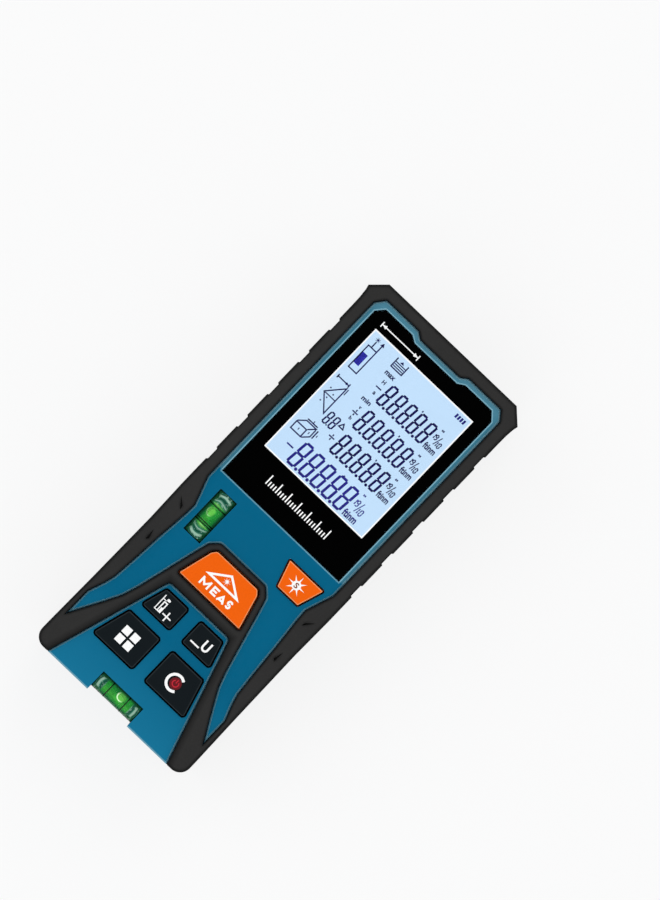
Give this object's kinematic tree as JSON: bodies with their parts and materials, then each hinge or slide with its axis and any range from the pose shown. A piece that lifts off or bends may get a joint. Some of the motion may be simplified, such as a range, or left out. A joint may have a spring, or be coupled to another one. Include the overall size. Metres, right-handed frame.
{
  "type": "laser distance meter",
  "caption": "Handheld laser distance meter: slim blue case in a black rubber grip, tall display window, orange and black keys, two spirit vials, hinged battery cover behind.",
  "frame": {"origin": "under the middle of the meter, in the plane of the rubber rim that its back rests on", "axes": "+Z out of the display face, +Y along the laser beam towards the laser end, +X to the right of someone reading the display"},
  "size_m": [0.0494, 0.12, 0.026],
  "materials": {
    "blue_shell": "fine spark texture",
    "grip_rubber": "matt moulded rubber",
    "window_pane": "polished clear acrylic",
    "black_mask": "black print under the window",
    "lcd_glass": "lit pale blue display",
    "light_guide": "white light guide",
    "elastomer": "silicone",
    "black_plastic": "moulded",
    "circuit_board": "green solder mask",
    "chip_plastic": "moulded epoxy",
    "tin_plate": "tin plated",
    "steel_screw": "blackened steel",
    "steel_contact": "nickel plated",
    "orange_key": "satin",
    "black_key": "matt silicone",
    "vial_acrylic": "polished clear acrylic",
    "vial_liquid": "green vial liquid",
    "vial_plug": "clear plug",
    "cradle_plastic": "dark moulded",
    "label_film": "blank silver film",
    "brass_insert": "turned brass",
    "cell_sleeve": "printed cell sleeve, with bare ends",
    "die_cast": "die cast",
    "optical_glass": "coated lens",
    "filter_glass": "narrow-band filter",
    "flex_film": "amber film",
    "gloss_black": "polished black",
    "port_glass": "tinted port window"
  },
  "bodies": {
    "case": {"front_shell": "blue_shell", "rear_shell": "blue_shell", "front_grip": "grip_rubber", "rear_grip": "grip_rubber", "display_window": "window_pane", "window_mask": "black_mask", "lcd_panel": "lcd_glass", "lcd_backlight": "light_guide", "lcd_connector": "elastomer", "lcd_frame": "black_plastic", "main_board": "circuit_board", "detector_board": "circuit_board", "laser_driver": "circuit_board", "board_chips": "chip_plastic", "shield_can": "tin_plate", "buzzer": "black_plastic", "board_screws": "steel_screw", "case_screws": "steel_screw", "chassis_screws": "steel_screw", "keypad_membrane": "elastomer", "key_domes": "steel_contact", "side_vial_tube": "vial_acrylic", "end_vial_tube": "vial_acrylic", "side_vial_liquid": "vial_liquid", "end_vial_liquid": "vial_liquid", "side_vial_plugs": "vial_plug", "end_vial_plugs": "vial_plug", "side_vial_cradle": "cradle_plastic", "end_vial_cradle": "cradle_plastic", "case_seal": "elastomer", "rear_label": "label_film", "tripod_insert": "brass_insert", "battery_left": "cell_sleeve", "battery_right": "cell_sleeve", "contact_plates": "steel_contact", "contact_springs": "steel_contact", "optics_chassis": "die_cast", "laser_barrel": "brass_insert", "laser_diode": "tin_plate", "laser_lens": "optical_glass", "receiver_lens": "optical_glass", "lens_retainer": "black_plastic", "receiver_filter": "filter_glass", "photodiode": "tin_plate", "optics_flex": "flex_film", "optics_bezel": "gloss_black", "laser_window": "port_glass", "receiver_window": "port_glass"},
    "measure_key": {"measure_key": "orange_key"},
    "beam_key": {"beam_key": "orange_key"},
    "reference_key": {"reference_key": "black_key"},
    "units_key": {"units_key": "black_key"},
    "menu_key": {"menu_key": "black_key"},
    "power_key": {"power_key": "black_key"},
    "battery_cover": {"battery_cover": "blue_shell"}
  },
  "joints": [
    {"name": "measure_key_press", "type": "slide", "parent": "case", "child": "measure_key", "axis": [0, 0, -1], "range_m": [0, 0.0006], "stiffness_N_per_m": 1500},
    {"name": "beam_key_press", "type": "slide", "parent": "case", "child": "beam_key", "axis": [0, 0, -1], "range_m": [0, 0.0006], "stiffness_N_per_m": 1500},
    {"name": "reference_key_press", "type": "slide", "parent": "case", "child": "reference_key", "axis": [0, 0, -1], "range_m": [0, 0.0006], "stiffness_N_per_m": 1500},
    {"name": "units_key_press", "type": "slide", "parent": "case", "child": "units_key", "axis": [0, 0, -1], "range_m": [0, 0.0006], "stiffness_N_per_m": 1500},
    {"name": "menu_key_press", "type": "slide", "parent": "case", "child": "menu_key", "axis": [0, 0, -1], "range_m": [0, 0.0006], "stiffness_N_per_m": 1500},
    {"name": "power_key_press", "type": "slide", "parent": "case", "child": "power_key", "axis": [0, 0, -1], "range_m": [0, 0.0006], "stiffness_N_per_m": 1500},
    {"name": "battery_cover_hinge", "type": "hinge", "parent": "case", "child": "battery_cover", "pos_m": [0, -0.051, 0.0015], "axis": [-1, 0, 0], "range_deg": [0, 90]}
  ]
}
